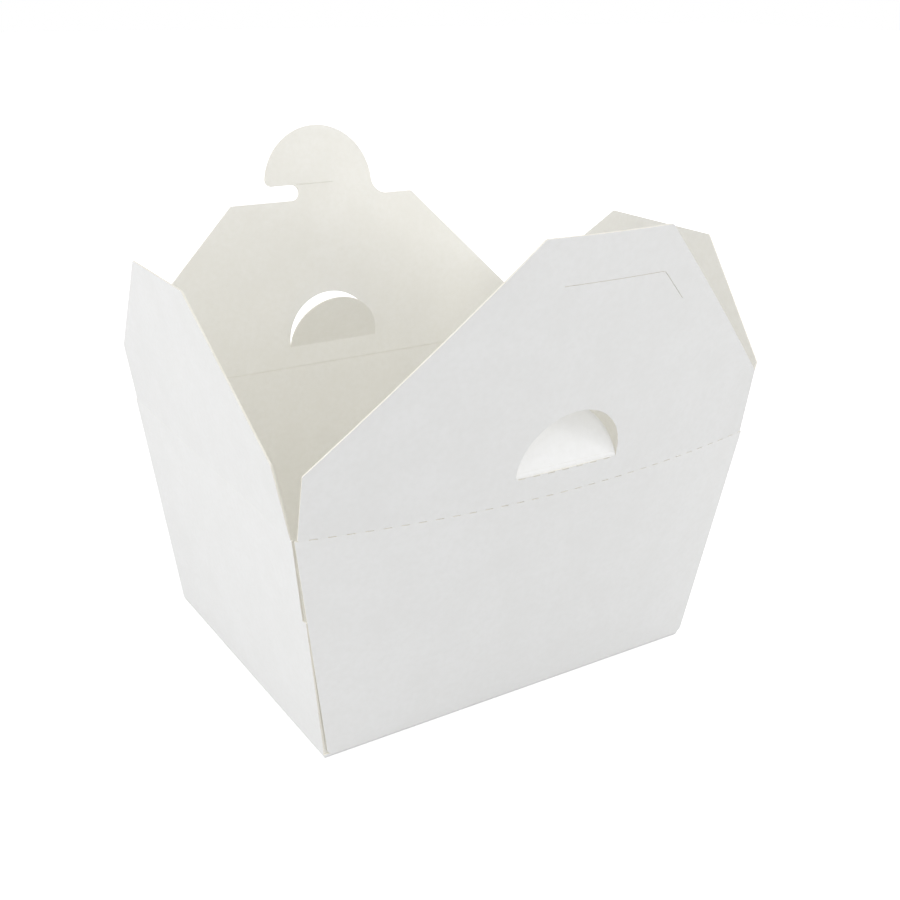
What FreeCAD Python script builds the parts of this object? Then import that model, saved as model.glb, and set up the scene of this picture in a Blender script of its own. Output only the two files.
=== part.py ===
import FreeCAD, Part
import math
import os
import Sketcher

# Takeout food box in white board, open: one die-cut and folded sheet.
# The frame has its origin at the middle of the base's underside, +X along the front
# wall to the right, +Y from the front wall to the back wall and +Z up. Millimetres.
# Each flap is drawn flat in its own frame: X along the fold, Y up the flap from the
# fold line, Z out of the box. The fold line is the flap's hinge axis.

DIMENSIONS = [
    # the sheet
    ("board_thick", 0.45),
    ("bend_radius", 0.9),       # outside radius where the board is bent
    ("tip_round", 0.8),         # radius of the flaps' cut corners
    # the tapered box, over its outer faces
    ("bottom_wide", 112.0),
    ("bottom_deep", 92.5),
    ("top_wide", 129.0),
    ("top_deep", 107.6),
    ("fold_height", 63.5),      # fold line of the front flap above the base
    ("fold_step", 0.6),         # the side folds lie this much lower, the back fold higher
    ("fold_gap", 0.12),         # running clearance between a wall's rim and its flap
    ("open_angle", 120.0),      # how far a flap folds out, from upright
    # the webs that close the lower part of the corners, and the slits above them
    ("web_reach", 41.0),        # measured up the corner
    ("corner_slit", 0.8),
    # all flaps
    ("cut_angle", 45.0),        # slant of the cut corners
    ("end_setback", 0.7),       # front and back flaps stop this short of the corners
    ("side_setback", 2.1),      # side flaps stop this short of the corners
    ("front_reach", 65.1),      # from the fold line to the free edge
    ("back_reach", 49.5),
    ("side_reach", 47.3),
    ("front_shoulder", 17.8),   # straight side edge, from the fold line to the slant
    ("back_shoulder", 15.9),
    ("side_shoulder", 15.6),
    # how far each flap leans out of the box, from upright
    ("front_lean_angle", 12.7),
    ("back_lean_angle", 7.5),
    ("left_lean_angle", 9.5),
    ("right_lean_angle", 17.8),
    # the swell of the front's flap and wall; the fold between them stays straight, because
    # the flap turns about it
    ("flap_swell", 6.1),
    ("flap_flat", 1.5),         # the flap is flat up to this far from the fold,
    ("flap_full", 13.0),        # and stands out by its whole swell from here on
    ("wall_swell", 4.7),
    ("swell_low", 3.0),         # the wall is flat below this height,
    ("swell_middle", 50.0),     # stands out most at this one
    ("swell_high", 61.5),       # and is flat again from here
    ("swell_margin", 1.6),      # and within this of the corners
    ("swell_sink", 0.05),       # the swell springs from this far under the wall's face
    # the half-moon tabs
    ("moon_wide", 28.6),
    ("moon_base", 6.9),         # crease of the tab above the flap's fold line
    ("moon_rise", 0.8),         # straight side below the half circle
    ("knife_gap", 0.1),
    ("front_moon_angle", 32.0),
    ("back_moon_angle", 23.5),
    # the slit that takes the hook
    ("slit_wide", 0.4),
    ("slit_inset", 11.0),       # from the front flap's free edge
    ("slit_start", 10.1),       # from the middle to the slit's left end
    ("slit_turn", 17.2),        # from the middle to its bend
    ("slit_arm", 11.0),
    # the hook on the back flap
    ("hook_radius", 16.8),
    ("hook_rise", 4.5),         # centre of the crown above the flap's free edge
    ("hook_shift", 1.2),        # the crown and the half-moon below it are off centre
    ("notch_wide", 4.3),
    ("notch_end", 8.2),         # from the middle to the notch's round end
    ("hook_tip_round", 2.0),
    ("hook_neck_round", 5.0),
]

# Expressions that more than one piece uses
FRONT_FLARE = "atan((dims.top_deep - dims.bottom_deep) / 2 / dims.fold_height)"
SIDE_FLARE = "atan((dims.top_wide - dims.bottom_wide) / 2 / dims.fold_height)"
FRONT_WALL = f"(dims.board_thick / cos({FRONT_FLARE}))"
SIDE_WALL = f"(dims.board_thick / cos({SIDE_FLARE}))"
FRONT_FOLD = "dims.fold_height"
SIDE_FOLD = "(dims.fold_height - dims.fold_step)"
BACK_FOLD = "(dims.fold_height + dims.fold_step)"
# A rim stands clear of the half-round lower edge of a flap that is folded fully out.
OPEN_CORNER = f"(180 deg - dims.open_angle * 1 deg + {FRONT_FLARE})"
RIM_DROP = (
    f"(((1 + cos({OPEN_CORNER})) * dims.board_thick / 2 + dims.fold_gap)"
    f" / sin({OPEN_CORNER}))"
)
OVER_RIM = "(dims.fold_height + 3 * dims.fold_step)"
ZERO = "0 * dims.board_thick"
FLANK = "0.75"                  # share of a swell that is left halfway to its ends


def half_wide(height):
    return (
        "((dims.bottom_wide + (dims.top_wide - dims.bottom_wide)"
        f" * ({height}) / dims.fold_height) / 2)"
    )


def half_deep(height):
    return (
        "((dims.bottom_deep + (dims.top_deep - dims.bottom_deep)"
        f" * ({height}) / dims.fold_height) / 2)"
    )


def make_sheet(doc):
    sheet = doc.addObject("Spreadsheet::Sheet", "dims")
    for row, (name, value) in enumerate(DIMENSIONS, start=1):
        sheet.set(f"A{row}", name)
        sheet.set(f"B{row}", str(value))
        sheet.setAlias(f"B{row}", name)
    doc.recompute()
    return sheet


def new_sketch(body, name, plane_role="XY_Plane"):
    sketch = body.newObject("Sketcher::SketchObject", name)
    planes = [item for item in body.Origin.OriginFeatures if item.Role == plane_role]
    sketch.AttachmentSupport = [(planes[0], "")]
    sketch.MapMode = "FlatFace"
    return sketch


def pin_point(sketch, geometry, end, place):
    """Fixes one point of a sketch to a pair of expressions, from the sketch's origin."""
    for kind, expression in zip(("DistanceX", "DistanceY"), place):
        value = float(sketch.evalExpression(expression))
        constraint = Sketcher.Constraint(kind, -1, 1, geometry, end, value)
        index = sketch.addConstraint(constraint)
        sketch.setExpression(f"Constraints[{index}]", expression)


def add_lines(sketch, places, closed=True):
    """Straight lines from point to point; gives back the number of the first one."""
    first = sketch.GeometryCount
    spots = [
        FreeCAD.Vector(float(sketch.evalExpression(x)), float(sketch.evalExpression(y)), 0)
        for x, y in places
    ]
    count = len(spots) if closed else len(spots) - 1
    for step in range(count):
        line = Part.LineSegment(spots[step], spots[(step + 1) % len(spots)])
        sketch.addGeometry(line)
    for step in range(count if closed else count - 1):
        following = first + (step + 1) % count
        joined = Sketcher.Constraint("Coincident", first + step, 2, following, 1)
        sketch.addConstraint(joined)
    for step in range(count):
        pin_point(sketch, first + step, 1, places[step])
    if not closed:
        pin_point(sketch, first + count - 1, 2, places[-1])
    return first


def swollen(half, level, swell):
    """Points along a line, from right to left, that stands out by the swell in its middle."""
    flank = f"{level} + {FLANK} * {swell}"
    return [
        (half, level), (f"{half} / 2", flank), (ZERO, f"{level} + {swell}"),
        (f"-{half} / 2", flank), (f"-{half}", level),
    ]


def add_half_moon(sketch, across, base, half):
    """A half circle on a low straight-sided foot that stands on its base line."""
    centre = f"({base} + dims.moon_rise)"
    right, left = f"({across} + {half})", f"({across} - {half})"
    foot = [(right, centre), (right, base), (left, base), (left, centre)]
    first = add_lines(sketch, foot, closed=False)
    radius = float(sketch.evalExpression(half))
    middle = FreeCAD.Vector(*[float(sketch.evalExpression(side)) for side in (across, centre)], 0)
    circle = Part.Circle(middle, FreeCAD.Vector(0, 0, 1), radius)
    arc = sketch.addGeometry(Part.ArcOfCircle(circle, 0, math.pi))
    sketch.addConstraint(Sketcher.Constraint("Coincident", arc, 1, first, 1))
    sketch.addConstraint(Sketcher.Constraint("Coincident", arc, 2, first + 2, 2))
    index = sketch.addConstraint(
        Sketcher.Constraint("DistanceY", -1, 1, arc, 3, middle.y)
    )
    sketch.setExpression(f"Constraints[{index}]", centre)


def add_circle(sketch, place, radius):
    middle = FreeCAD.Vector(*[float(sketch.evalExpression(side)) for side in place], 0)
    size = float(sketch.evalExpression(radius))
    circle = sketch.addGeometry(Part.Circle(middle, FreeCAD.Vector(0, 0, 1), size))
    pin_point(sketch, circle, 3, place)
    index = sketch.addConstraint(Sketcher.Constraint("Radius", circle, size))
    sketch.setExpression(f"Constraints[{index}]", radius)


def add_pad(body, sketch, name, length="dims.board_thick", both_ways=True):
    pad = body.newObject("PartDesign::Pad", name)
    pad.Profile = sketch
    pad.SideType = "Symmetric" if both_ways else "One side"
    pad.setExpression("Length", length)
    body.Document.recompute()
    return pad


def add_pocket(body, sketch, name):
    """Cuts right through the body, to both sides of the sketch."""
    pocket = body.newObject("PartDesign::Pocket", name)
    pocket.Profile = sketch
    pocket.SideType = "Symmetric"
    pocket.setExpression("Length", "4 * dims.top_wide")
    body.Document.recompute()
    return pocket


def add_wedge(body, kind, name, low, high, side_inset, front_inset):
    """A tapered block between two heights, set in from the box's outer faces."""
    wedge = body.newObject(f"PartDesign::{kind}Wedge", name)
    wedge.Placement = FreeCAD.Placement(FreeCAD.Vector(), FreeCAD.Rotation(0, 0, 90))
    wedge.setExpression("Ymin", low)
    wedge.setExpression("Ymax", high)
    for suffix, height in (("", low), ("2", high)):
        wide = f"({half_wide(height)} - {side_inset})"
        deep = f"({half_deep(height)} - {front_inset})"
        wedge.setExpression(f"X{suffix}min", f"-{wide}")
        wedge.setExpression(f"X{suffix}max", wide)
        wedge.setExpression(f"Z{suffix}min", f"-{deep}")
        wedge.setExpression(f"Z{suffix}max", deep)
    body.Document.recompute()
    return wedge


def add_loft(body, kind, name, sketches):
    """Straight-lined faces from sketch to sketch, each with as many corners as the last."""
    loft = body.newObject(f"PartDesign::{kind}Loft", name)
    loft.Profile = sketches[0]
    loft.Sections = sketches[1:]
    loft.Ruled = True
    body.Document.recompute()
    return loft


def swell_front_wall(body):
    """Moves the front wall's outer and inner faces out by the same swell."""
    inner_face = f"({FRONT_WALL} + dims.swell_sink)"
    faces = (
        ("Additive", "wall_swell_out", "dims.swell_sink", f"({FRONT_WALL} / 2)"),
        ("Subtractive", "wall_swell_in", inner_face, f"(3 * {FRONT_WALL})"),
    )
    for kind, name, face, back in faces:
        sketches = []
        for height, swell in (
            ("dims.swell_low", ZERO), ("dims.swell_middle", "dims.wall_swell"),
            ("dims.swell_high", ZERO),
        ):
            sketch = new_sketch(body, f"{name}_{len(sketches)}")
            sketch.setExpression("AttachmentOffset.Base.z", height)
            half = f"({half_wide(height)} - dims.swell_margin)"
            level = f"({face} - {half_deep(height)})"
            inside = f"{back} - {half_deep(height)}"
            add_lines(sketch, [
                *swollen(half, level, f"-{swell}"), (f"-{half}", inside), (half, inside),
            ])
            sketches.append(sketch)
        add_loft(body, kind, name, sketches)


def edge_names(shape, wanted):
    """Names of the edges that fit, asked by each one's middle and its run from end to end."""
    names = []
    for number, edge in enumerate(shape.Edges, start=1):
        ends = [vertex.Point for vertex in edge.Vertexes]
        if wanted(edge.CenterOfMass, ends[-1] - ends[0]):
            names.append(f"Edge{number}")
    return names


def is_upright(run):
    """True for an edge through the board's thickness, in a flap's own frame."""
    return abs(run.x) < 1e-6 and abs(run.y) < 1e-6 and abs(run.z) > 0


def add_fillet(body, feature, name, radius, wanted):
    fillet = body.newObject("PartDesign::Fillet", name)
    fillet.Base = (feature, edge_names(feature.Shape, wanted))
    fillet.setExpression("Radius", radius)
    body.Document.recompute()
    return fillet


def add_bead(body, name, half, across=ZERO, height=ZERO, out=ZERO):
    """Rounds a bent or cut edge that runs along X: a rod as thick as the board."""
    rod = body.newObject("PartDesign::AdditiveCylinder", name)
    rod.Placement = FreeCAD.Placement(FreeCAD.Vector(), FreeCAD.Rotation(0, 90, 0))
    rod.setExpression("Radius", "dims.board_thick / 2")
    rod.setExpression("Height", f"2 * {half}")
    rod.setExpression("Placement.Base.x", f"{across} - {half}")
    rod.setExpression("Placement.Base.y", height)
    rod.setExpression("Placement.Base.z", out)
    body.Document.recompute()
    return rod


def make_box(doc, sheet):
    """Base, four walls and the corner webs, folded from one sheet and left open on top."""
    body = doc.addObject("PartDesign::Body", "box_body")
    board = sheet.get("board_thick")
    shell = add_wedge(body, "Additive", "shell", ZERO, OVER_RIM, ZERO, ZERO)

    def at_corner(run):
        return abs(run.z) > board and abs(run.x) > board and abs(run.y) > board

    def folded_outside(middle, run):
        return middle.z < board / 2 or at_corner(run)

    add_fillet(body, shell, "outer_bends", "dims.bend_radius", folded_outside)
    hollow = add_wedge(
        body, "Subtractive", "hollow", "dims.board_thick",
        f"({OVER_RIM} + dims.fold_step)", SIDE_WALL, FRONT_WALL,
    )

    def folded_inside(middle, run):
        wide = float(body.evalExpression(half_wide(str(middle.z))))
        floor_line = abs(middle.z - board) < board / 4 and abs(run.z) < board
        return floor_line or (at_corner(run) and abs(middle.x) < wide - board)

    inside_radius = "(dims.bend_radius - dims.board_thick)"
    add_fillet(body, hollow, "inner_bends", inside_radius, folded_inside)
    webs = add_pad(body, web_sketch(body), "webs", "2 * dims.board_thick", both_ways=False)
    other_webs = body.newObject("PartDesign::Mirrored", "other_webs")
    other_webs.Originals = [webs]
    planes = [item for item in body.Origin.OriginFeatures if item.Role == "YZ_Plane"]
    other_webs.MirrorPlane = (planes[0], [""])
    body.Tip = other_webs
    doc.recompute()
    swell_front_wall(body)
    add_pocket(body, slit_sketch(body), "corner_slits")
    add_pocket(body, rim_sketch(body), "rims")
    return body


def web_sketch(body):
    """The two webs on the left wall: right triangles that lie double on its inner face."""
    sketch = new_sketch(body, "web_outline", "YZ_Plane")
    sketch.setExpression("AttachmentOffset.Base.z", f"{SIDE_WALL} - dims.bottom_wide / 2")
    sketch.setExpression("AttachmentOffset.Rotation.Roll", f"-{SIDE_FLARE}")
    front_edge = (
        f"atan((dims.top_wide - dims.bottom_wide) / 2 * cos({FRONT_FLARE}) / dims.fold_height)"
    )
    side_edge = (
        f"atan((dims.top_deep - dims.bottom_deep) / 2 * cos({SIDE_FLARE}) / dims.fold_height)"
    )
    half_web = f"((90 deg - {front_edge} - {side_edge}) / 2)"
    foot = f"(dims.bottom_deep / 2 - {FRONT_WALL} / 2)"
    low = "(dims.board_thick / 2)"
    for side in ("-", ""):
        corner_top = (
            f"{side}({foot} + dims.web_reach * sin({side_edge}))",
            f"{low} + dims.web_reach * cos({side_edge})",
        )
        fold_end = (
            f"{side}({foot} - dims.web_reach * cos({half_web}) * sin({half_web} - {side_edge}))",
            f"{low} + dims.web_reach * cos({half_web}) * cos({half_web} - {side_edge})",
        )
        add_lines(sketch, [(f"{side}{foot}", low), corner_top, fold_end])
    body.Document.recompute()
    return sketch


def slit_sketch(body):
    """Slits through the side walls, just behind the front wall and before the back wall."""
    sketch = new_sketch(body, "slit_outline", "YZ_Plane")
    low = f"(dims.web_reach * cos({FRONT_FLARE}) * cos({SIDE_FLARE}))"
    for side in ("-", ""):
        places = [
            (f"{side}({half_deep(height)} - {FRONT_WALL} - {slit})", height)
            for height, slit in (
                (low, "0"), (low, "dims.corner_slit"),
                (OVER_RIM, "dims.corner_slit"), (OVER_RIM, "0"),
            )
        ]
        add_lines(sketch, places)
    body.Document.recompute()
    return sketch


def rim_sketch(body):
    """All above the rims: the side walls end lower and the back wall ends higher."""
    sketch = new_sketch(body, "rim_outline", "YZ_Plane")
    step = f"({half_deep('dims.fold_height')} - {FRONT_WALL} - dims.corner_slit / 2)"
    front, side, back = [f"({fold} - {RIM_DROP})" for fold in (FRONT_FOLD, SIDE_FOLD, BACK_FOLD)]
    high = "(2 * dims.fold_height)"
    add_lines(sketch, [
        ("-dims.top_deep", front), (f"-{step}", front), (f"-{step}", side),
        (step, side), (step, back), ("dims.top_deep", back),
        ("dims.top_deep", high), ("-dims.top_deep", high),
    ])
    body.Document.recompute()
    return sketch


def make_flap(doc, name, half, size, lean, yaw, fold, swell=ZERO):
    """A flap with its upper corners cut off, on the straight fold line it turns about."""
    board = doc.getObject("dims").get("board_thick")
    reach, shoulder = f"dims.{size}_reach", f"dims.{size}_shoulder"
    body = doc.addObject("PartDesign::Body", name)
    levels = [(ZERO, ZERO), (reach, swell)]
    if swell != ZERO:
        levels[1:1] = [("dims.flap_flat", ZERO), ("dims.flap_full", swell)]
    sections = []
    for height, bulge in levels:
        section = new_sketch(body, f"{name}_section_{len(sections)}", "XZ_Plane")
        section.setExpression("AttachmentOffset.Base.z", f"-{height}")
        outer = swollen(half, "dims.board_thick / 2", bulge)
        inner = swollen(half, "-dims.board_thick / 2", bulge)
        add_lines(section, outer + inner[::-1])
        sections.append(section)
    add_loft(body, "Additive", f"{name}_panel", sections)
    corners = new_sketch(body, f"{name}_cut_corners")
    slant = f"(({reach} - {shoulder}) * tan(dims.cut_angle * 1 deg))"
    for side in ("-", ""):
        add_lines(corners, [
            (f"{side}{half}", shoulder), (f"{side}({half} - {slant})", reach),
            (f"{side}({half} - {slant})", f"2 * {reach}"),
            (f"{side}2 * {half}", f"2 * {reach}"), (f"{side}2 * {half}", shoulder),
        ])
    panel = add_pocket(body, corners, f"{name}_corner_cut")
    panel = add_fillet(
        body, panel, f"{name}_corners", "dims.tip_round",
        lambda middle, run: is_upright(run) and middle.y > board,
    )
    add_bead(body, f"{name}_fold", half)
    body.Placement = FreeCAD.Placement(FreeCAD.Vector(), FreeCAD.Rotation(yaw, 0, 90))
    body.setExpression("Placement.Rotation.Roll", f"90 + {lean}")
    body.setExpression("Placement.Base.z", fold)
    doc.recompute()
    return body


def add_moon_tab(body, name, bend, across=ZERO, out=ZERO):
    """Cuts a half-moon free all but at its base and bends it into the box."""
    hole = new_sketch(body, f"{name}_hole_outline")
    add_half_moon(hole, across, "dims.moon_base", "(dims.moon_wide / 2)")
    add_pocket(body, hole, f"{name}_hole")
    tab = new_sketch(body, f"{name}_tab_outline")
    tab.setExpression("AttachmentOffset.Base.y", "dims.moon_base")
    tab.setExpression("AttachmentOffset.Base.z", out)
    tab.setExpression("AttachmentOffset.Rotation.Roll", f"-{bend}")
    half_tab = "(dims.moon_wide / 2 - dims.knife_gap)"
    add_half_moon(tab, across, ZERO, half_tab)
    add_pad(body, tab, f"{name}_tab")
    add_bead(body, f"{name}_crease", half_tab, across, "dims.moon_base", out)


def cut_hook_slit(body):
    """The slit near the front flap's free edge, with an arm along the flap's slanted side."""
    sketch = new_sketch(body, "hook_slit_outline")
    upper = "(dims.front_reach - dims.slit_inset + dims.slit_wide)"
    turn = "dims.cut_angle * 1 deg"
    run = f"(dims.slit_arm * cos({turn}))"
    fall = f"(dims.slit_arm * sin({turn}))"
    add_lines(sketch, [
        ("-dims.slit_start", upper),
        ("dims.slit_turn", upper),
        (f"dims.slit_turn + {run}", f"{upper} - {fall}"),
        (
            f"dims.slit_turn + {run} - dims.slit_wide * sin({turn})",
            f"{upper} - {fall} - dims.slit_wide * cos({turn})",
        ),
        (f"dims.slit_turn - dims.slit_wide * tan({turn} / 2)", f"{upper} - dims.slit_wide"),
        ("-dims.slit_start", f"{upper} - dims.slit_wide"),
    ])
    add_pocket(body, sketch, "hook_slit")


def add_hook(body, sheet):
    """The hooked crown on the back flap's free edge, with its notch on the +X side."""
    crown = new_sketch(body, "crown_outline")
    add_circle(crown, ("dims.hook_shift", "dims.back_reach + dims.hook_rise"), "dims.hook_radius")
    disc = add_pad(body, crown, "crown")
    board = sheet.get("board_thick")
    free_edge = sheet.get("back_reach")
    notch_top = free_edge + sheet.get("notch_wide")
    notch_end = sheet.get("notch_end")
    crown_side = sheet.get("hook_shift") - sheet.get("hook_radius")

    def is_neck(middle, run):
        on_edge = abs(middle.y - free_edge) < board
        return is_upright(run) and on_edge and crown_side < middle.x < 0

    add_fillet(body, disc, "hook_neck", "dims.hook_neck_round", is_neck)
    top = "(dims.back_reach + dims.notch_wide)"
    inner = "(dims.notch_end + dims.notch_wide / 2)"
    outer = "(dims.hook_shift + 2 * dims.hook_radius)"
    notch = new_sketch(body, "notch_outline")
    add_lines(notch, [
        (inner, "dims.back_reach"), (outer, "dims.back_reach"), (outer, top), (inner, top),
    ])
    add_pocket(body, notch, "notch")
    end = new_sketch(body, "notch_end_outline")
    add_circle(end, (inner, "dims.back_reach + dims.notch_wide / 2"), "dims.notch_wide / 2")
    cut = add_pocket(body, end, "notch_end")

    def is_tip(middle, run):
        on_line = abs(middle.y - notch_top) < board
        return is_upright(run) and on_line and middle.x > notch_end + sheet.get("notch_wide")

    add_fillet(body, cut, "hook_tip", "dims.hook_tip_round", is_tip)


def check_and_save(doc, bodies):
    for item in doc.Objects:
        wrong = [state for state in item.State if state in ("Invalid", "Error")]
        if wrong:
            raise RuntimeError(f"{item.Name} is {wrong}")
    os.makedirs("parts", exist_ok=True)
    for body in bodies:
        shape = body.Shape
        if shape.isNull() or not shape.isValid():
            raise RuntimeError(f"{body.Label} has no valid shape")
        print(f"{body.Label}: {len(shape.Solids)} solid, {shape.Volume:.1f} mm3")
        shape.exportStep(f"parts/{body.Label}.step")


def main():
    doc = FreeCAD.newDocument("takeout_box")
    sheet = make_sheet(doc)
    box = make_box(doc, sheet)

    long_half = "(dims.top_wide / 2 - dims.end_setback)"
    side_half = "(dims.top_deep / 2 - dims.side_setback)"
    front = make_flap(
        doc, "front_flap", long_half, "front", "dims.front_lean_angle", 0, FRONT_FOLD,
        "dims.flap_swell",
    )
    front.setExpression("Placement.Base.y", f"{FRONT_WALL} / 2 - {half_deep(FRONT_FOLD)}")
    moon_out = (
        "(dims.flap_swell * (dims.moon_base - dims.flap_flat) / (dims.flap_full - dims.flap_flat))"
    )
    add_moon_tab(front, "front_moon", "dims.front_moon_angle", out=moon_out)
    cut_hook_slit(front)

    back = make_flap(
        doc, "back_flap", long_half, "back", "dims.back_lean_angle", 180, BACK_FOLD
    )
    back.setExpression("Placement.Base.y", f"{half_deep(BACK_FOLD)} - {FRONT_WALL} / 2")
    add_hook(back, sheet)
    add_moon_tab(back, "back_moon", "dims.back_moon_angle", "dims.hook_shift")

    left = make_flap(
        doc, "left_flap", side_half, "side", "dims.left_lean_angle", -90, SIDE_FOLD
    )
    left.setExpression("Placement.Base.x", f"{SIDE_WALL} / 2 - {half_wide(SIDE_FOLD)}")
    right = make_flap(
        doc, "right_flap", side_half, "side", "dims.right_lean_angle", 90, SIDE_FOLD
    )
    right.setExpression("Placement.Base.x", f"{half_wide(SIDE_FOLD)} - {SIDE_WALL} / 2")
    doc.recompute()
    check_and_save(doc, [box, front, back, left, right])


main()
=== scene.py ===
import math
import bmesh
import bpy
from mathutils import Matrix, Vector


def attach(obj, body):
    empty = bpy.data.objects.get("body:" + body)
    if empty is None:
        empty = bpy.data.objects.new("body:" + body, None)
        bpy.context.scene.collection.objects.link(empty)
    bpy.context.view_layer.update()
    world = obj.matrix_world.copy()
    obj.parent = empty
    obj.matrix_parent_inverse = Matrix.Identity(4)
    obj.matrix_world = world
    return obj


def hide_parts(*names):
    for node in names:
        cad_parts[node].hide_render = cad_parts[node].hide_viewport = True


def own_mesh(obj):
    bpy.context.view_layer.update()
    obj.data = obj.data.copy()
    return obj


# Takeout food box in white board, standing open with its four flaps up.
# Each piece is drawn in millimetres and brought to metres when it is put in place.
# Panels are cut flat: X along the fold, Y up the panel from the fold, Z outwards.

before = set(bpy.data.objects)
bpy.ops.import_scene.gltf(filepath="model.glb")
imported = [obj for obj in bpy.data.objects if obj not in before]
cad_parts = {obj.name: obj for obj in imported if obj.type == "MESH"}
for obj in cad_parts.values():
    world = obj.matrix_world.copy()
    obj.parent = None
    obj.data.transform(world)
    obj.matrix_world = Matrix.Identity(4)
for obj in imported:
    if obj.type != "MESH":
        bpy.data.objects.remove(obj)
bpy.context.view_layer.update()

board = {
    "thick": 0.45,
    "edgeRound": 0.05,      # softening of every cut edge
    "edgeSteps": 2,
    "edgeAngle": 50,        # only edges sharper than this are softened
    "sharpAngle": 35,       # and above this, shading shows an edge
    "cutDepth": 4.0,        # thickness of a blank while it is being cut
    "millimetre": 0.001,
}

box = {
    "bottomWide": 112.0,
    "bottomDeep": 92.5,
    "topWide": 129.0,
    "topDeep": 107.6,
    "foldHeight": 63.5,     # of the front fold
    "sideFoldHeight": 62.9,
    "backFoldHeight": 64.1,
}


def selectOnly(piece):
    bpy.ops.object.select_all(action="DESELECT")
    piece.select_set(True)
    bpy.context.view_layer.objects.active = piece


def openEdit(piece, kind, wanted):
    # edit mode, with only the parts selected that the test wants
    selectOnly(piece)
    bpy.ops.object.mode_set(mode="EDIT")
    bpy.ops.mesh.select_mode(type=kind)
    bpy.ops.mesh.select_all(action="DESELECT")
    mesh = bmesh.from_edit_mesh(piece.data)
    parts = {"VERT": mesh.verts, "EDGE": mesh.edges, "FACE": mesh.faces}[kind]
    for part in parts:
        if wanted(part):
            part.select_set(True)
    bmesh.update_edit_mesh(piece.data)


def closeEdit():
    bpy.ops.object.mode_set(mode="OBJECT")


def everything(part):
    return True


def middleOf(edge):
    return (edge.verts[0].co + edge.verts[1].co) / 2


def runOf(edge):
    return (edge.verts[1].co - edge.verts[0].co).normalized()


def isUpright(edge):
    return abs(runOf(edge).z) > 0.99


def applyPlace(piece):
    selectOnly(piece)
    bpy.ops.object.transform_apply(location=True, rotation=True, scale=True)


def applyModifier(piece, modifier):
    selectOnly(piece)
    bpy.ops.object.modifier_apply(modifier=modifier.name)


def addBlock(name, low, high):
    middle = [(a + b) / 2 for a, b in zip(low, high)]
    size = [b - a for a, b in zip(low, high)]
    bpy.ops.object.select_all(action="DESELECT")
    bpy.ops.mesh.primitive_cube_add(size=1, location=middle, scale=size)
    block = bpy.context.object
    block.name = name
    applyPlace(block)
    return block


def addDisc(name, middle, radius, sides=128):
    bpy.ops.object.select_all(action="DESELECT")
    bpy.ops.mesh.primitive_cylinder_add(
        vertices=sides, radius=radius, depth=board["cutDepth"], location=(*middle, 0),
    )
    disc = bpy.context.object
    disc.name = name
    applyPlace(disc)
    return disc


def combine(piece, other, how="DIFFERENCE"):
    # cuts the other away from the piece, or adds it with UNION
    cut = piece.modifiers.new("cut", "BOOLEAN")
    cut.object = other
    cut.operation = how
    cut.solver = "EXACT"
    applyModifier(piece, cut)
    bpy.data.objects.remove(other)


def cutThrough(piece, point, normal, clear=False, fill=False):
    # cuts the faces along a plane, and with clear takes away what lies beyond it
    openEdit(piece, "FACE", everything)
    plane = Vector(normal).normalized()
    bpy.ops.mesh.bisect(plane_co=point, plane_no=plane, clear_outer=clear, use_fill=fill)
    closeEdit()


def dropFaces(piece, unwanted):
    openEdit(piece, "FACE", unwanted)
    bpy.ops.mesh.delete(type="FACE")
    closeEdit()


def cutAlong(piece, start, end, side):
    # cuts away what lies beyond a line that climbs the panel on its left (-1) or right (1)
    run = end - start
    cutThrough(piece, start, (side * run.y, -side * run.x, 0), clear=True, fill=True)


def takeSheet(piece):
    # keeps only the blank's outer face, laid on the panel's middle plane
    half = board["cutDepth"] / 2
    dropFaces(piece, lambda face: face.normal.z < 0.9 or face.calc_center_median().z < half * 0.9)
    openEdit(piece, "VERT", everything)
    bpy.ops.transform.translate(value=(0, 0, -half))
    bpy.ops.mesh.dissolve_limited(angle_limit=math.radians(0.1))
    closeEdit()


def thicken(piece, live=False, offset=0.0, thick=None):
    # slot 0 is the outer face, slot 1 the inner face and slot 2 the cut edge
    size = board["millimetre"] if live else 1
    solid = piece.modifiers.new("boardThickness", "SOLIDIFY")
    solid.thickness = (thick or board["thick"]) * size
    solid.offset = offset
    solid.use_even_offset = True
    solid.material_offset = 1
    solid.material_offset_rim = 2
    rounding = piece.modifiers.new("edgeRound", "BEVEL")
    rounding.width = board["edgeRound"] * size
    rounding.segments = board["edgeSteps"]
    rounding.limit_method = "ANGLE"
    rounding.angle_limit = math.radians(board["edgeAngle"])
    rounding.use_clamp_overlap = True
    if live:
        selectOnly(piece)
        bpy.ops.object.shade_smooth()
    else:
        applyModifier(piece, solid)
        applyModifier(piece, rounding)
        selectOnly(piece)
        bpy.ops.object.shade_smooth_by_angle(angle=math.radians(board["sharpAngle"]))


def hingePlace(hinge, yaw, lean):
    # stands a flat panel on its fold, turned to its side of the box and leaning out
    facing = Matrix.Rotation(math.radians(yaw), 4, "Z")
    return Matrix.Translation(hinge) @ facing @ Matrix.Rotation(math.radians(90 + lean), 4, "X")


def putAt(piece, place=Matrix.Identity(4)):
    piece.matrix_world = Matrix.Scale(board["millimetre"], 4) @ place
    bpy.context.view_layer.update()
    applyPlace(piece)


def wideAt(height):
    share = height / box["foldHeight"]
    return (box["bottomWide"] + (box["topWide"] - box["bottomWide"]) * share) / 2


def deepAt(height):
    share = height / box["foldHeight"]
    return (box["bottomDeep"] + (box["topDeep"] - box["bottomDeep"]) * share) / 2


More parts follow.
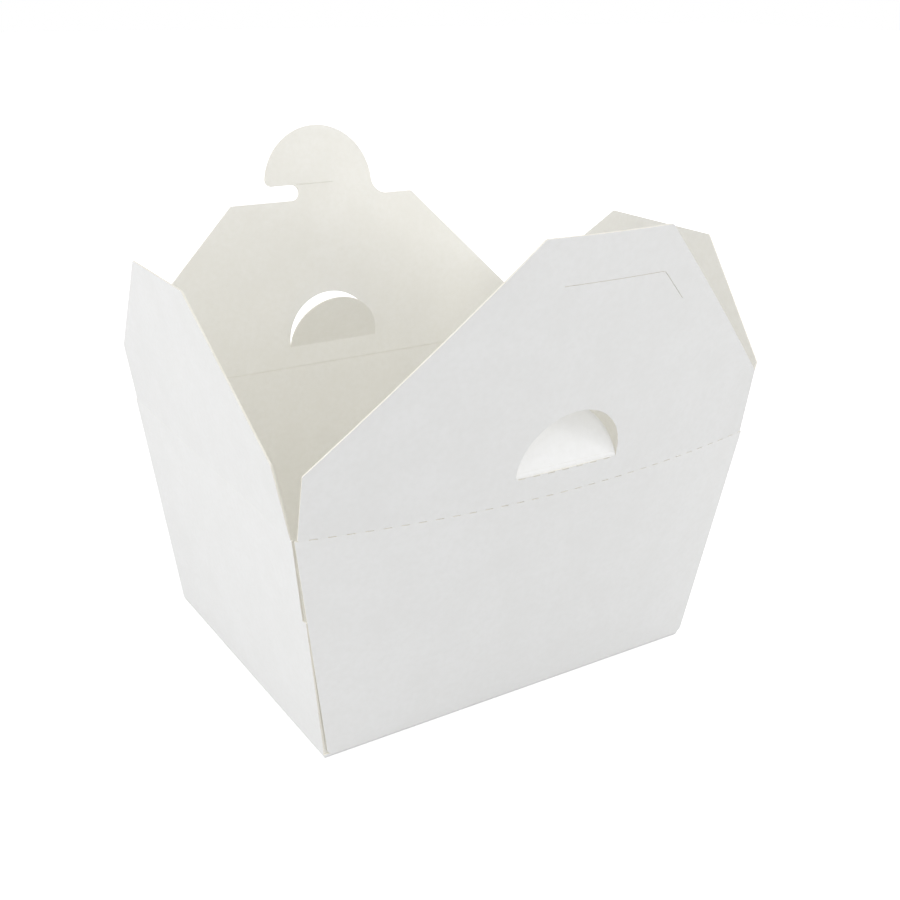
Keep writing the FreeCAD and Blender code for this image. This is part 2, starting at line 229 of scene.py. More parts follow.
sideFlare = math.atan((box["topWide"] - box["bottomWide"]) / 2 / box["foldHeight"])
frontFlare = math.atan((box["topDeep"] - box["bottomDeep"]) / 2 / box["foldHeight"])
halfAcrossSide = board["thick"] / 2 / math.cos(sideFlare)     # half the board, measured level
halfAcrossFront = board["thick"] / 2 / math.cos(frontFlare)
frontHinge = Vector((0, -deepAt(box["foldHeight"]) + halfAcrossFront, box["foldHeight"]))
backHinge = Vector((0, deepAt(box["backFoldHeight"]) - halfAcrossFront, box["backFoldHeight"]))
sideHinge = Vector((wideAt(box["sideFoldHeight"]) - halfAcrossSide, 0, box["sideFoldHeight"]))
cornerShare = math.tan(math.radians(22.5))   # bevel width for a radius at a 45 degree corner


# Board: clay-coated white outside, bare and a little creamier inside, open fibre at the cuts
finish = {
    "coated": {
        "colour": (0.86, 0.862, 0.858), "shade": (0.835, 0.836, 0.828),
        "roughness": 0.6, "bump": 0.10,
    },
    "bare": {
        "colour": (0.85, 0.842, 0.805), "shade": (0.825, 0.815, 0.77),
        "roughness": 0.72, "bump": 0.22,
    },
    "cut": {
        "colour": (0.86, 0.84, 0.785), "shade": (0.80, 0.775, 0.70),
        "roughness": 0.85, "bump": 0.45,
    },
    "gloss": 0.25,
    "mottle": {"scale": 95.0, "detail": 4.0},       # cloudiness of the board, about 10 mm
    "fibre": {"scale": 700.0, "detail": 2.0},
    "tooth": {"scale": 2200.0, "detail": 3.0},      # the board's fine tooth
    "toothHeight": 0.00004,
    "shadeBelow": 0.12,     # of the two noises multiplied
    "colourAbove": 0.38,
}


def makeBoard(name, values):
    material = bpy.data.materials.new(name)
    material.use_nodes = True
    nodes, links = material.node_tree.nodes, material.node_tree.links
    shader = nodes["Principled BSDF"]
    shader.inputs["Roughness"].default_value = values["roughness"]
    shader.inputs["Specular IOR Level"].default_value = finish["gloss"]
    place = nodes.new("ShaderNodeTexCoord")
    noises = {}
    for kind in ("mottle", "fibre", "tooth"):
        noises[kind] = nodes.new("ShaderNodeTexNoise")
        noises[kind].inputs["Scale"].default_value = finish[kind]["scale"]
        noises[kind].inputs["Detail"].default_value = finish[kind]["detail"]
        links.new(place.outputs["Object"], noises[kind].inputs["Vector"])
    both = nodes.new("ShaderNodeMath")
    both.operation = "MULTIPLY"
    tones = nodes.new("ShaderNodeValToRGB")
    tones.color_ramp.elements[0].position = finish["shadeBelow"]
    tones.color_ramp.elements[0].color = (*values["shade"], 1)
    tones.color_ramp.elements[1].position = finish["colourAbove"]
    tones.color_ramp.elements[1].color = (*values["colour"], 1)
    bump = nodes.new("ShaderNodeBump")
    bump.inputs["Strength"].default_value = values["bump"]
    bump.inputs["Distance"].default_value = finish["toothHeight"]
    links.new(noises["mottle"].outputs["Fac"], both.inputs[0])
    links.new(noises["fibre"].outputs["Fac"], both.inputs[1])
    links.new(both.outputs[0], tones.inputs["Fac"])
    links.new(tones.outputs["Color"], shader.inputs["Base Color"])
    links.new(noises["tooth"].outputs["Fac"], bump.inputs["Height"])
    links.new(bump.outputs["Normal"], shader.inputs["Normal"])
    return material


boardSides = [
    makeBoard("coatedWhite", finish["coated"]),
    makeBoard("bareInside", finish["bare"]),
    makeBoard("cutFibre", finish["cut"]),
]


def dress(piece, body):
    # normals that keep the big faces flat, and the CAD body that the piece goes with
    weighted = piece.modifiers.new("flatFaces", "WEIGHTED_NORMAL")
    weighted.keep_sharp = True
    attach(piece, body)


def giveBoard(piece):
    piece.data.materials.clear()
    for material in boardSides:
        piece.data.materials.append(material)


# Box shell: base and side walls, with the bends to the front and back walls at its foot.
# Front is -1 and back is 1; the gaps are the lower one, which a web closes, and the slit
# above it, each from the end wall's inner face to the side wall's end.
shell = {
    "bend": 1.25,
    "bendSteps": 6,
    "foot": 1.6,            # the front and back walls' own sheets begin at this height
    "gaps": {-1: (0.5, 1.25), 1: (0.12, 0.3)},
    "leftEnd": 0.3,         # low down, the left wall runs on past the front wall's end
    "webTop": 41.4,         # height where the slits begin
    "roll": 3.0,            # the front end of a side wall, which curls in
    "rollDepth": 0.22,      # at its end
    "rollSteps": 5,
    "rollRows": [5.0, 12.0, 24.0],  # heights of extra rows in the side walls
    "rimDrop": 0.03,
    "rack": 1.9,            # folded by hand, the rear left foot stands this far out
}


def endPlane(side, inset):
    # plane that follows the slope of the front or back wall, set in from its outer face
    point = (0, side * (deepAt(0) - inset), 0)
    normal = (0, side * math.cos(frontFlare), -math.sin(frontFlare))
    return point, normal


def rackOut(piece):
    # moves the left wall out towards the back and the foot
    size = board["millimetre"]
    for vertex in piece.data.vertices:
        x, y, z = vertex.co / size
        if x < 0:
            share = -x / wideAt(z) * (1 + y / deepAt(z)) / 2 * max(0.0, 1 - z / box["foldHeight"])
            vertex.co.x -= shell["rack"] * share * size


def makeShell():
    top = box["backFoldHeight"] + 1
    tub = addBlock("boxShell", (-wideAt(0), -deepAt(0), 0), (wideAt(0), deepAt(0), top))
    openEdit(tub, "VERT", lambda vertex: vertex.co.z > top / 2)
    grow = (wideAt(top) / wideAt(0), deepAt(top) / deepAt(0), 1)
    bpy.ops.transform.resize(value=grow, center_override=(0, 0, top))
    closeEdit()
    dropFaces(tub, lambda face: face.normal.z > 0.9)

    def bends(edge):
        # all but the open rim and the front left corner, where the walls' ends show
        middle = middleOf(edge)
        atLeftEnd = abs(runOf(edge).z) > 0.5 and middle.x < 0 and middle.y < 0
        return middle.z < top * 0.9 and not atLeftEnd

    openEdit(tub, "EDGE", bends)
    bpy.ops.mesh.bevel(offset=shell["bend"], segments=shell["bendSteps"], affect="EDGES")
    closeEdit()
    ends = {}
    for side, gaps in shell["gaps"].items():
        ends[side] = [2 * halfAcrossFront + gap for gap in gaps]
    frontEnds = {-1: shell["leftEnd"], 1: ends[-1][0]}
    steps = [shell["roll"] * step / shell["rollSteps"] for step in range(shell["rollSteps"] + 1)]
    for side, insets in ends.items():
        for inset in insets:
            cutThrough(tub, *endPlane(side, inset))
    for frontEnd in frontEnds.values():
        for step in steps:
            cutThrough(tub, *endPlane(-1, frontEnd + step))
    rim = box["sideFoldHeight"] - shell["rimDrop"]
    for height in (shell["foot"], *shell["rollRows"], shell["webTop"], rim):
        cutThrough(tub, (0, 0, height), (0, 0, 1))

    def unwanted(face):
        middle = face.calc_center_median()
        fromCorner = deepAt(middle.z) - abs(middle.y)
        if middle.z < shell["foot"]:
            return False
        wallEnd, slitEnd = ends[-1 if middle.y < 0 else 1]
        if middle.x < 0 and middle.y < 0:
            wallEnd = shell["leftEnd"]
        return middle.z > rim or fromCorner < (slitEnd if middle.z > shell["webTop"] else wallEnd)

    dropFaces(tub, unwanted)
    for vertex in tub.data.vertices:
        if vertex.co.y > 0:
            continue
        frontEnd = frontEnds[-1 if vertex.co.x < 0 else 1]
        along = 1 - (deepAt(vertex.co.z) - abs(vertex.co.y) - frontEnd) / shell["roll"]
        if along > 0 and vertex.co.z > shell["foot"] + 0.01:
            vertex.co.x -= math.copysign(shell["rollDepth"] * along ** 2, vertex.co.x)
    giveBoard(tub)
    thicken(tub, offset=-1.0)
    putAt(tub)
    rackOut(tub)
    return tub


shellPiece = makeShell()
dress(shellPiece, "box")
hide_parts("box_body")
print("box shell made")


# Front and back walls: sheets that run out to the corners. Each end has two insets from the
# side wall's outer face, at the foot and at the rim, and the left end comes first.
wall = {
    "cornerRound": 1.2,     # of their lower corners
    "cornerSteps": 5,
    "frontInsets": ((1.1, 0.1), (0.05, 0.05)),
    "backInsets": ((0.5, 0.5), (0.5, 0.5)),
    "rows": 8,              # of faces, so that the front wall can bow
    "frontRimDrop": 0.1,
    "backRimDrop": 0.13,
}
runOut = (box["topDeep"] - box["bottomDeep"]) / 2


def wallSheet(name, rim, insets):
    slope = math.hypot(1, runOut / box["foldHeight"])
    low, high = shell["foot"] * slope, rim * slope
    half = box["topWide"] / 2 + 1
    depth = board["cutDepth"] / 2
    sheet = addBlock(name, (-half, low, -depth), (half, high, depth))
    for side, (footInset, rimInset) in zip((-1, 1), insets):
        bottom = Vector((side * (wideAt(0) - footInset), 0, 0))
        top = Vector((side * (wideAt(rim) - rimInset), high, 0))
        cutAlong(sheet, bottom, top, side)
    openEdit(sheet, "EDGE", lambda edge: isUpright(edge) and middleOf(edge).y < low + 1)
    bpy.ops.mesh.bevel(offset=wall["cornerRound"], segments=wall["cornerSteps"], affect="EDGES")
    closeEdit()
    takeSheet(sheet)
    return sheet


def makeBackWall():
    sheet = wallSheet("backWall", box["backFoldHeight"] - wall["backRimDrop"], wall["backInsets"])
    giveBoard(sheet)
    thicken(sheet)
    foot = Vector((0, deepAt(0) - halfAcrossFront, 0))
    putAt(sheet, hingePlace(foot, 180, math.degrees(frontFlare)))
    rackOut(sheet)
    return sheet


dress(makeBackWall(), "box")
print("back wall made")


# Webs: the double triangles that close the lower corners, lying on the side walls
web = {
    "outline": [(46.02, 0.225), (50.72, 40.5), (29.28, 27.94)],   # along and up the wall
    "frontShort": 0.24,     # the front webs end behind the front wall
    "thick": 0.88,
    "foldRound": 0.36,
    "foldSteps": 4,
}


def makeWeb(name, side, towards):
    short = web["frontShort"] if towards < 0 else 0
    foot, top, tip = [Vector((y - short, z, 0)) for y, z in web["outline"]]
    blank = addBlock(name, (tip.x - 1, foot.y, 0), (top.x + 1, top.y, web["thick"]))
    middle = (foot + top + tip) / 3
    for start, end in ((foot, top), (top, tip), (tip, foot)):
        away = Vector((end.y - start.y, start.x - end.x, 0))
        if away.dot(start - middle) < 0:
            away.negate()
        cutThrough(blank, start, away, clear=True, fill=True)
    folds = (tip - foot).normalized(), (top - tip).normalized()

    def folded(edge):
        alongFold = any(abs(runOf(edge).dot(line)) > 0.999 for line in folds)
        return alongFold and middleOf(edge).z > web["thick"] / 2

    openEdit(blank, "EDGE", folded)
    bpy.ops.mesh.bevel(offset=web["foldRound"], segments=web["foldSteps"], affect="EDGES")
    closeEdit()
    giveBoard(blank)
    for face in blank.data.polygons:
        face.material_index = 1
    selectOnly(blank)
    bpy.ops.object.shade_smooth_by_angle(angle=math.radians(board["sharpAngle"]))
    # X of the blank runs to the end wall, Y up the side wall and Z into the box
    up = Vector((side * math.sin(sideFlare), 0, math.cos(sideFlare)))
    along = Vector((0, towards, 0))
    inward = Vector((-side * math.cos(sideFlare), 0, math.sin(sideFlare)))
    place = Matrix((along, up, inward)).transposed().to_4x4()
    inner = wideAt(0) - 2 * halfAcrossSide
    putAt(blank, Matrix.Translation((side * inner, 0, 0)) @ place)
    if place.determinant() < 0:
        openEdit(blank, "FACE", everything)
        bpy.ops.mesh.normals_make_consistent(inside=False)
        closeEdit()
    rackOut(blank)
    return blank


for side, sideName in ((-1, "left"), (1, "right")):
    for end, endName in ((-1, "Front"), (1, "Back")):
        dress(makeWeb(f"{sideName}{endName}Web", side, end), "box")
print("webs made")


# Bow: the front wall and its flap belly out along the fold
bow = {
    "depth": 6.06,
    "lean": 12.68,          # of the bowed front flap
    "cadLean": 12.7,        # of the front flap's solid
    "strip": 4.0,           # spacing of the lines that the bow bends along
    "keep": 0.01,           # what is left of it when the flap is closed or hangs down
}


def bowAt(across):
    return bow["depth"] * max(0.0, 1 - (across / (box["topWide"] / 2)) ** 2)


def bellyOut(piece):
    # the board doesn't stretch, so where the wall leans out further its top comes down
    size = board["millimetre"]
    for vertex in piece.data.vertices:
        height = min(box["foldHeight"], vertex.co.z / size)
        share = height / box["foldHeight"]
        out = bowAt(vertex.co.x / size * box["topWide"] / 2 / wideAt(height))
        topHeight = math.sqrt(runOut ** 2 + box["foldHeight"] ** 2 - (runOut + out) ** 2)
        vertex.co.y -= share * out * size
        vertex.co.z -= share * (box["foldHeight"] - topHeight) * size


def stripLines(piece, half):
    count = int(half // bow["strip"])
    for step in range(-count, count + 1):
        cutThrough(piece, (step * bow["strip"], 0, 0), (1, 0, 0))


def flattens(piece):
    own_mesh(piece)


def makeFrontWall():
    sheet = wallSheet("frontWall", box["foldHeight"] - wall["frontRimDrop"], wall["frontInsets"])
    stripLines(sheet, box["topWide"] / 2)
    for row in range(1, wall["rows"]):
        cutThrough(sheet, (0, box["foldHeight"] * row / wall["rows"], 0), (0, 1, 0))
    foot = Vector((0, -deepAt(0) + halfAcrossFront, 0))
    giveBoard(sheet)
    putAt(sheet, hingePlace(foot, 0, math.degrees(frontFlare)))
    bellyOut(sheet)
    thicken(sheet, live=True)
    return sheet


frontWallPiece = makeFrontWall()
dress(frontWallPiece, "box")
flattens(frontWallPiece)
print("front wall made")


# Flaps: panels with their upper corners cut off and slightly rounded. Each side has the
# half width and height of its wide corner, and the half width of the free edge.
flaps = {
    "front": {"half": 63.8, "reach": 65.1, "sides": ((63.7, 16.4, 16.5), (62.0, 19.0, 16.4))},
    "back": {"half": 63.8, "reach": 49.0, "sides": ((63.7, 15.4, 29.4), (63.7, 15.4, 29.9)),
             "lean": 7.5, "gap": 0.13, "rod": 0.165},
    "left": {"half": 51.6, "reach": 48.0, "sides": ((49.6, 17.4, 16.9), (49.6, 17.4, 16.9)),
             "lean": 9.5, "gap": 0.03, "rod": 0.222},
    "right": {"half": 51.7, "reach": 47.7, "sides": ((51.5, 19.0, 20.8), (51.5, 19.0, 20.8)),
              "lean": 17.8, "gap": 0.03, "rod": 0.222},
    "frontGap": 0.1,        # from the fold line to the front panel
    "tipRound": 0.8,
    "tipSteps": 4,
    "rodSides": 24,
    "rodSharpAngle": 40,
}


def flapBlank(name, flap):
    half, reach = flap["half"], flap["reach"]
    low = flap.get("gap", flaps["frontGap"])
    depth = board["cutDepth"] / 2
    blank = addBlock(name, (-half, low, -depth), (half, reach, depth))
    for side, (wide, shoulder, top) in zip((-1, 1), flap["sides"]):
        corner = Vector((side * wide, shoulder, 0))
        cutAlong(blank, Vector((side * half, 0, 0)), corner, side)
        cutAlong(blank, corner, Vector((side * top, reach, 0)), side)
    # the corners at the fold stay sharp
    openEdit(blank, "EDGE", lambda edge: isUpright(edge) and middleOf(edge).y > reach / 8)
    offset = flaps["tipRound"] * cornerShare
    bpy.ops.mesh.bevel(offset=offset, segments=flaps["tipSteps"], affect="EDGES")
    closeEdit()
    return blank


def addFoldRod(piece, half, radius):
    # the bent board in the crease, joined to the panel that turns about it
    bpy.ops.object.select_all(action="DESELECT")
    bpy.ops.mesh.primitive_cylinder_add(
        vertices=flaps["rodSides"], radius=radius, depth=2 * half, rotation=(0, math.pi / 2, 0),
    )
    rod = bpy.context.object
    applyPlace(rod)
    openEdit(rod, "EDGE", lambda edge: abs(runOf(edge).x) < 0.5)
    bpy.ops.mesh.bevel(offset=board["edgeRound"], segments=board["edgeSteps"], affect="EDGES")
    closeEdit()
    giveBoard(rod)
    for face in rod.data.polygons:
        face.material_index = 1 if face.normal.z < 0 else 0
    selectOnly(rod)
    bpy.ops.object.shade_smooth_by_angle(angle=math.radians(flaps["rodSharpAngle"]))
    selectOnly(piece)
    rod.select_set(True)
    bpy.ops.object.join()


# Half-moon tabs, cut in the front and back flaps and pushed into the box
moon = {
    "front": {"across": 1.1, "base": 7.1, "radius": 14.4, "bend": 37.5},
    "back": {"across": 1.4, "base": 6.2, "radius": 14.3, "bend": 23.3},
    "rise": 0.8,            # from the crease to the middle of the round
    "knife": 0.1,           # what the cut takes off the tab
    "lip": 0.35,            # the tab's foot, still in the flap's plane
    "overlap": 0.1,         # of the flap's face over the tab's foot
    "thick": 0.43,          # of the tabs, so that their feet lie just under the flap's face
    "creaseRound": 0.3,
    "creaseSteps": 5,
    "dashFirst": -11.6,
    "dashPitch": 4.07,
    "dashLong": 1.9,
    "dashHigh": 0.22,
    "dashCount": 7,
}


def moonShape(name, place, radius, base):
    across, centre = place["across"], place["base"] + moon["rise"]
    shape = addDisc(name, (across, centre), radius)
    depth = board["cutDepth"]
    cutThrough(shape, (0, centre, 0), (0, -1, 0), clear=True, fill=True)
    foot = addBlock("foot", (across - radius, base, -depth / 2), (across + radius, centre, depth / 2))
    combine(shape, foot, "UNION")
    return shape


def cutMoon(panel, place):
    low = place["base"] - moon["lip"] + moon["overlap"]
    combine(panel, moonShape("moonHole", place, place["radius"], low))


def makeTab(name, place):
    base = place["base"]
    tab = moonShape(name, place, place["radius"] - moon["knife"], base - moon["lip"])
    takeSheet(tab)
    cutThrough(tab, (0, base, 0), (0, 1, 0))
    turn = Matrix.Rotation(-math.radians(place["bend"]), 4, "X")
    hinge = Matrix.Translation((0, base, 0))
    for vertex in tab.data.vertices:
        if vertex.co.y > base + 0.01:
            vertex.co = hinge @ turn @ hinge.inverted() @ vertex.co

    def onCrease(edge):
        return abs(middleOf(edge).y - base) < 0.01 and abs(runOf(edge).x) > 0.9

    openEdit(tab, "EDGE", onCrease)
    bpy.ops.mesh.bevel(offset=moon["creaseRound"], segments=moon["creaseSteps"], affect="EDGES")
    closeEdit()
    return tab


def addDashes(name, first, pitch, count, long, low, high):
    depth = board["cutDepth"]
    dash = addBlock(name, (first - long / 2, low, -depth), (first + long / 2, high, depth))
    row = dash.modifiers.new("row", "ARRAY")
    row.count = count
    row.use_relative_offset = False
    row.use_constant_offset = True
    row.constant_offset_displace = (pitch, 0, 0)
    applyModifier(dash, row)
    return dash


# The slit that takes the hook, near the front flap's free edge
slit = {
    "high": 54.2,
    "start": -10.1,
    "turn": 17.2,           # where it bends down, alongside the flap's slanted side
    "arm": 11.0,
    "turnRound": 2.2,
    "turnSteps": 5,
    "wide": 0.11,
}


def makeSlitKnife():
    depth = board["cutDepth"]
    bpy.ops.object.select_all(action="DESELECT")
    middle = ((slit["start"] + slit["turn"]) / 2, slit["high"], 0)
    bpy.ops.mesh.primitive_plane_add(size=1, location=middle, rotation=(math.pi / 2, 0, 0))
    knife = bpy.context.object
    knife.scale = (slit["turn"] - slit["start"], 2 * depth, 1)
    applyPlace(knife)
    openEdit(knife, "EDGE", lambda edge: isUpright(edge) and middleOf(edge).x > slit["turn"] - 0.1)
    across = slit["arm"] * math.cos(math.radians(45))
    bpy.ops.mesh.extrude_region_move(TRANSFORM_OT_translate={"value": (across, -across, 0)})
    closeEdit()
    openEdit(knife, "EDGE", lambda edge: isUpright(edge)
             and abs(middleOf(edge).x - slit["turn"]) < 0.1)
    offset = slit["turnRound"] * cornerShare
    bpy.ops.mesh.bevel(offset=offset, segments=slit["turnSteps"], affect="EDGES")
    closeEdit()
    blade = knife.modifiers.new("blade", "SOLIDIFY")
    blade.thickness = slit["wide"]
    blade.offset = 0
    applyModifier(knife, blade)
    return knife


def makeFrontFlap():
    flap = flaps["front"]
    panel = flapBlank("frontFlap", flap)
    place = moon["front"]
    cutMoon(panel, place)
    high = place["base"] - moon["lip"]
    combine(panel, addDashes(
        "moonDashes", moon["dashFirst"], moon["dashPitch"], moon["dashCount"],
        moon["dashLong"], high - moon["dashHigh"], high,
    ))
    combine(panel, makeSlitKnife())
    takeSheet(panel)
    stripLines(panel, flap["half"])
    giveBoard(panel)
    putAt(panel, hingePlace(frontHinge, 0, bow["lean"]))
    bellyOut(panel)
    thicken(panel, live=True)
    return panel


frontFlapPiece = makeFrontFlap()
dress(frontFlapPiece, "front_flap")
flattens(frontFlapPiece)
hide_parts("front_flap")
print("front flap made")


def makeFrontTab():
    tab = makeTab("frontTab", moon["front"])
    giveBoard(tab)
    thicken(tab, thick=moon["thick"])
    putAt(tab, hingePlace(frontHinge, 0, bow["lean"]))
    bellyOut(tab)
    return tab


def slidesIn(piece):
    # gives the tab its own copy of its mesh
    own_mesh(piece)


frontTabPiece = makeFrontTab()
dress(frontTabPiece, "front_flap")
slidesIn(frontTabPiece)


# Front fold: a thin strip in the crease, cut through in dashes
fold = {
    "first": -60.4,
    "pitch": 4.14,
    "dash": 1.9,
    "count": 30,
    "thick": 0.43,
    "up": 0.16,             # into the flap
    "down": 0.2,            # into the wall at its ends, and a tongue more at the middle
    "tongue": 0.95,
}


def makeFrontFold():
    start = fold["first"] - fold["pitch"] + fold["dash"] / 2
    long = fold["pitch"] - fold["dash"]
    depth = board["cutDepth"] / 2
    strip = addBlock("frontFold", (start, -fold["down"], -depth), (start + long, fold["up"], depth))
    row = strip.modifiers.new("row", "ARRAY")
    row.count = fold["count"] + 1
    row.use_relative_offset = False
    row.use_constant_offset = True
    row.constant_offset_displace = (fold["pitch"], 0, 0)
    applyModifier(strip, row)
    for side in (-1, 1):
        cutThrough(strip, (side * flaps["front"]["half"], 0, 0), (side, 0, 0), clear=True, fill=True)
    takeSheet(strip)
    for vertex in strip.data.vertices:
        if vertex.co.y < 0:
            vertex.co.y -= fold["tongue"] * bowAt(vertex.co.x) / bow["depth"]
    giveBoard(strip)
    putAt(strip, hingePlace(frontHinge, 0, bow["lean"]))
    bellyOut(strip)
    thicken(strip, live=True, thick=fold["thick"])
    return strip


frontFoldPiece = makeFrontFold()
dress(frontFoldPiece, "front_flap")
flattens(frontFoldPiece)
print("front fold made")


# Back flap with its hooked crown
hook = {
    "radius": 17.4,
    "rise": 3.75,           # of its centre above the free edge
    "across": 1.65,
    "notchWide": 4.5,
    "notchEnd": 8.5,
    "tipRound": 2.0,
    "neckRound": 5.2,
    "creaseFrom": -2.6,
    "creaseTo": 9.1,
    "creaseHigh": 53.6,
    "creaseWide": 0.2,
    "creaseDepth": 0.22,
    "inside": 12.0,         # fillers reach this far into the crown
    "beyond": 30.0,         # and cutters this far past its centre
}


def addCrown(panel):
    depth = board["cutDepth"] / 2
    edge = flaps["back"]["reach"]
    centre = Vector((hook["across"], edge + hook["rise"]))
    combine(panel, addDisc("crown", centre, hook["radius"]), "UNION")
    # the neck is filled and then rounded out by a disc that touches the crown and the free edge
    touch = hook["radius"] + hook["neckRound"]
    rise = hook["neckRound"] - hook["rise"]
    neck = Vector((centre.x - math.sqrt(touch ** 2 - rise ** 2), edge + hook["neckRound"]))
    onCrown = centre + (neck - centre) * hook["radius"] / touch
    filled = (centre.x - hook["inside"], onCrown.y, depth)
    combine(panel, addBlock("neckFill", (neck.x, edge - 1, -depth), filled), "UNION")
    combine(panel, addDisc("neckRound", neck, hook["neckRound"]))
    # the notch on the other side, with its round end
    inner = hook["notchEnd"] + hook["notchWide"] / 2
    top = edge + hook["notchWide"]
    beyond = centre.x + hook["beyond"]
    combine(panel, addBlock("notch", (inner, edge, -depth - 1), (beyond, top, depth + 1)))
    end = addDisc("notchEnd", (inner, edge + hook["notchWide"] / 2), hook["notchWide"] / 2)
    combine(panel, end)
    # the hook's round tip
    inside = hook["radius"] - hook["tipRound"]
    over = top + hook["tipRound"] - centre.y
    tip = Vector((centre.x + math.sqrt(inside ** 2 - over ** 2), top + hook["tipRound"]))
    onRim = centre + (tip - centre) * hook["radius"] / inside
    combine(panel, addBlock("tipCut", (tip.x, top - 1, -depth - 1), (beyond, onRim.y, depth + 1)))
    combine(panel, addDisc("tipRound", tip, hook["tipRound"]), "UNION")


def makeBackFlap():
    flap = flaps["back"]
    panel = flapBlank("backFlap", flap)
    cutMoon(panel, moon["back"])
    addCrown(panel)
    takeSheet(panel)
    giveBoard(panel)
    thicken(panel)
    half = board["thick"] / 2
    groove = addBlock(
        "hookCrease", (hook["creaseFrom"], hook["creaseHigh"] - hook["creaseWide"] / 2, -2 * half),
        (hook["creaseTo"], hook["creaseHigh"] + hook["creaseWide"] / 2, hook["creaseDepth"] - half),
    )
    giveBoard(groove)
    for face in groove.data.polygons:
        face.material_index = 1
    combine(panel, groove)
    addFoldRod(panel, flap["half"], flap["rod"])
    putAt(panel, hingePlace(backHinge, 180, flap["lean"]))
    return panel


backFlapPiece = makeBackFlap()
dress(backFlapPiece, "back_flap")
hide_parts("back_flap")
backTabPiece = makeTab("backTab", moon["back"])
giveBoard(backTabPiece)
thicken(backTabPiece, thick=moon["thick"])
putAt(backTabPiece, hingePlace(backHinge, 180, flaps["back"]["lean"]))
dress(backTabPiece, "back_flap")
print("back flap made")


def makeSideFlap(name, flap, hinge, yaw):
    panel = flapBlank(name, flap)
    takeSheet(panel)
    giveBoard(panel)
    thicken(panel)
    addFoldRod(panel, flap["half"], flap["rod"])
    putAt(panel, hingePlace(hinge, yaw, flap["lean"]))
    return panel


leftHinge = Vector((-sideHinge.x, 0, sideHinge.z))
for name, hinge, yaw in (("left", leftHinge, -90), ("right", sideHinge, 90)):
    panel = makeSideFlap(f"{name}Flap", flaps[name], hinge, yaw)
    dress(panel, f"{name}_flap")
    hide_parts(f"{name}_flap")
print("side flaps made")


# Camera where the photograph was taken from
camera = {
    "azimuth": -31.942,
    "elevation": 21.983,
    "roll": 0.556,
    "distance": 341.36,
    "right": 6.70,
    "up": 48.62,
    "lens": 46.43,
    "sensor": 36.0,
    "nearest": 0.01,
}


def makeCamera():
    azimuth, elevation = math.radians(camera["azimuth"]), math.radians(camera["elevation"])
    back = Vector((
        math.sin(azimuth) * math.cos(elevation),
        -math.cos(azimuth) * math.cos(elevation),
        math.sin(elevation),
    ))
    right = Vector((0, 0, 1)).cross(back).normalized()
    up = back.cross(right)
    roll = math.radians(camera["roll"])
    right, up = (
        math.cos(roll) * right + math.sin(roll) * up,
        -math.sin(roll) * right + math.cos(roll) * up,
    )
    place = back * camera["distance"] + right * camera["right"] + up * camera["up"]
    turn = Matrix((right, up, back)).transposed().to_4x4()
    bpy.ops.object.select_all(action="DESELECT")
    bpy.ops.object.camera_add()
    eye = bpy.context.object
    eye.matrix_world = Matrix.Translation(place * board["millimetre"]) @ turn
    eye.data.lens = camera["lens"]
    eye.data.sensor_width = camera["sensor"]
    eye.data.clip_start = camera["nearest"]
    bpy.context.scene.camera = eye


makeCamera()


# Light: a white studio all round, soft lamps set low on both sides and in front, and one high up
light = {
    "ambient": 0.95,
    "lamps": {
        "left": {"place": (-0.55, 0.03, 0.06), "size": 0.12, "power": 0.70},
        "right": {"place": (1.2, -0.65, 0.16), "size": 0.3, "power": 1.9},
        "front": {"place": (0.3, -1.35, 0.15), "size": 0.3, "power": 1.7},
        "high": {"place": (0.1, -0.9, 1.1), "size": 1.2, "power": 2.0},
    },
    "aim": (0, 0, 0.05),
    "bounces": 14,
    "diffuseBounces": 10,
}
studio = {
    "floorWide": 8.0,
    "floorDrop": 0.00002,
    "floorColour": 0.5,
    "floorLift": 0.8,       # added only where the camera sees the floor, so that it is white
    "floorRoughness": 0.9,
    "floorGloss": 0.1,
}


def addLamp(name, values):
    bpy.ops.object.select_all(action="DESELECT")
    bpy.ops.object.light_add(type="AREA", location=values["place"])
    lamp = bpy.context.object
    lamp.name = name
    lamp.data.shape = "DISK"
    lamp.data.size = values["size"]
    lamp.data.energy = values["power"]
    toBox = Vector(light["aim"]) - Vector(values["place"])
    lamp.rotation_euler = toBox.to_track_quat("-Z", "Y").to_euler()


for name, values in light["lamps"].items():
    addLamp(f"{name}Lamp", values)


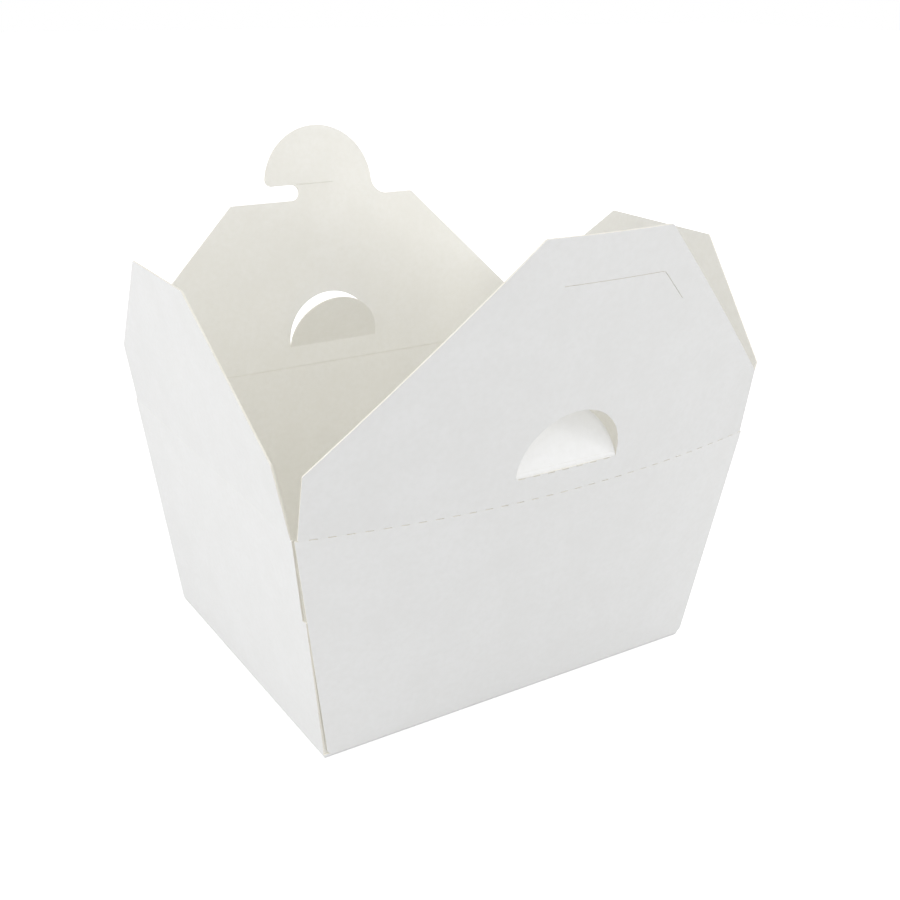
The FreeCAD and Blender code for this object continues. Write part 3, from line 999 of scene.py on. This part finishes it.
def makeWorld():
    world = bpy.data.worlds.new("studio")
    bpy.context.scene.world = world
    world.use_nodes = True
    nodes, links = world.node_tree.nodes, world.node_tree.links
    seen = nodes.new("ShaderNodeLightPath")
    anySeen = nodes.new("ShaderNodeMath")
    anySeen.operation = "MAXIMUM"
    alsoThrough = nodes.new("ShaderNodeMath")
    alsoThrough.operation = "MAXIMUM"
    strength = nodes.new("ShaderNodeMapRange")
    strength.inputs["To Min"].default_value = light["ambient"]
    strength.inputs["To Max"].default_value = 1.0
    links.new(seen.outputs["Is Camera Ray"], anySeen.inputs[0])
    links.new(seen.outputs["Is Glossy Ray"], anySeen.inputs[1])
    links.new(anySeen.outputs[0], alsoThrough.inputs[0])
    links.new(seen.outputs["Is Transmission Ray"], alsoThrough.inputs[1])
    links.new(alsoThrough.outputs[0], strength.inputs["Value"])
    background = nodes["Background"]
    background.inputs["Color"].default_value = (1, 1, 1, 1)
    links.new(strength.outputs["Result"], background.inputs["Strength"])


def makeFloor():
    bpy.ops.object.select_all(action="DESELECT")
    bpy.ops.mesh.primitive_plane_add(size=studio["floorWide"], location=(0, 0, -studio["floorDrop"]))
    floor = bpy.context.object
    floor.name = "studioFloor"
    material = bpy.data.materials.new("paleFloor")
    material.use_nodes = True
    nodes, links = material.node_tree.nodes, material.node_tree.links
    shader = nodes["Principled BSDF"]
    shader.inputs["Base Color"].default_value = (*[studio["floorColour"]] * 3, 1)
    shader.inputs["Roughness"].default_value = studio["floorRoughness"]
    shader.inputs["Specular IOR Level"].default_value = studio["floorGloss"]
    shader.inputs["Emission Color"].default_value = (1, 1, 1, 1)
    seen = nodes.new("ShaderNodeLightPath")
    lift = nodes.new("ShaderNodeMath")
    lift.operation = "MULTIPLY"
    lift.inputs[1].default_value = studio["floorLift"]
    links.new(seen.outputs["Is Camera Ray"], lift.inputs[0])
    links.new(lift.outputs[0], shader.inputs["Emission Strength"])
    floor.data.materials.append(material)


makeWorld()
makeFloor()
bpy.context.scene.view_settings.view_transform = "Standard"
bpy.context.scene.cycles.max_bounces = light["bounces"]
bpy.context.scene.cycles.diffuse_bounces = light["diffuseBounces"]
print("camera, light and floor made")
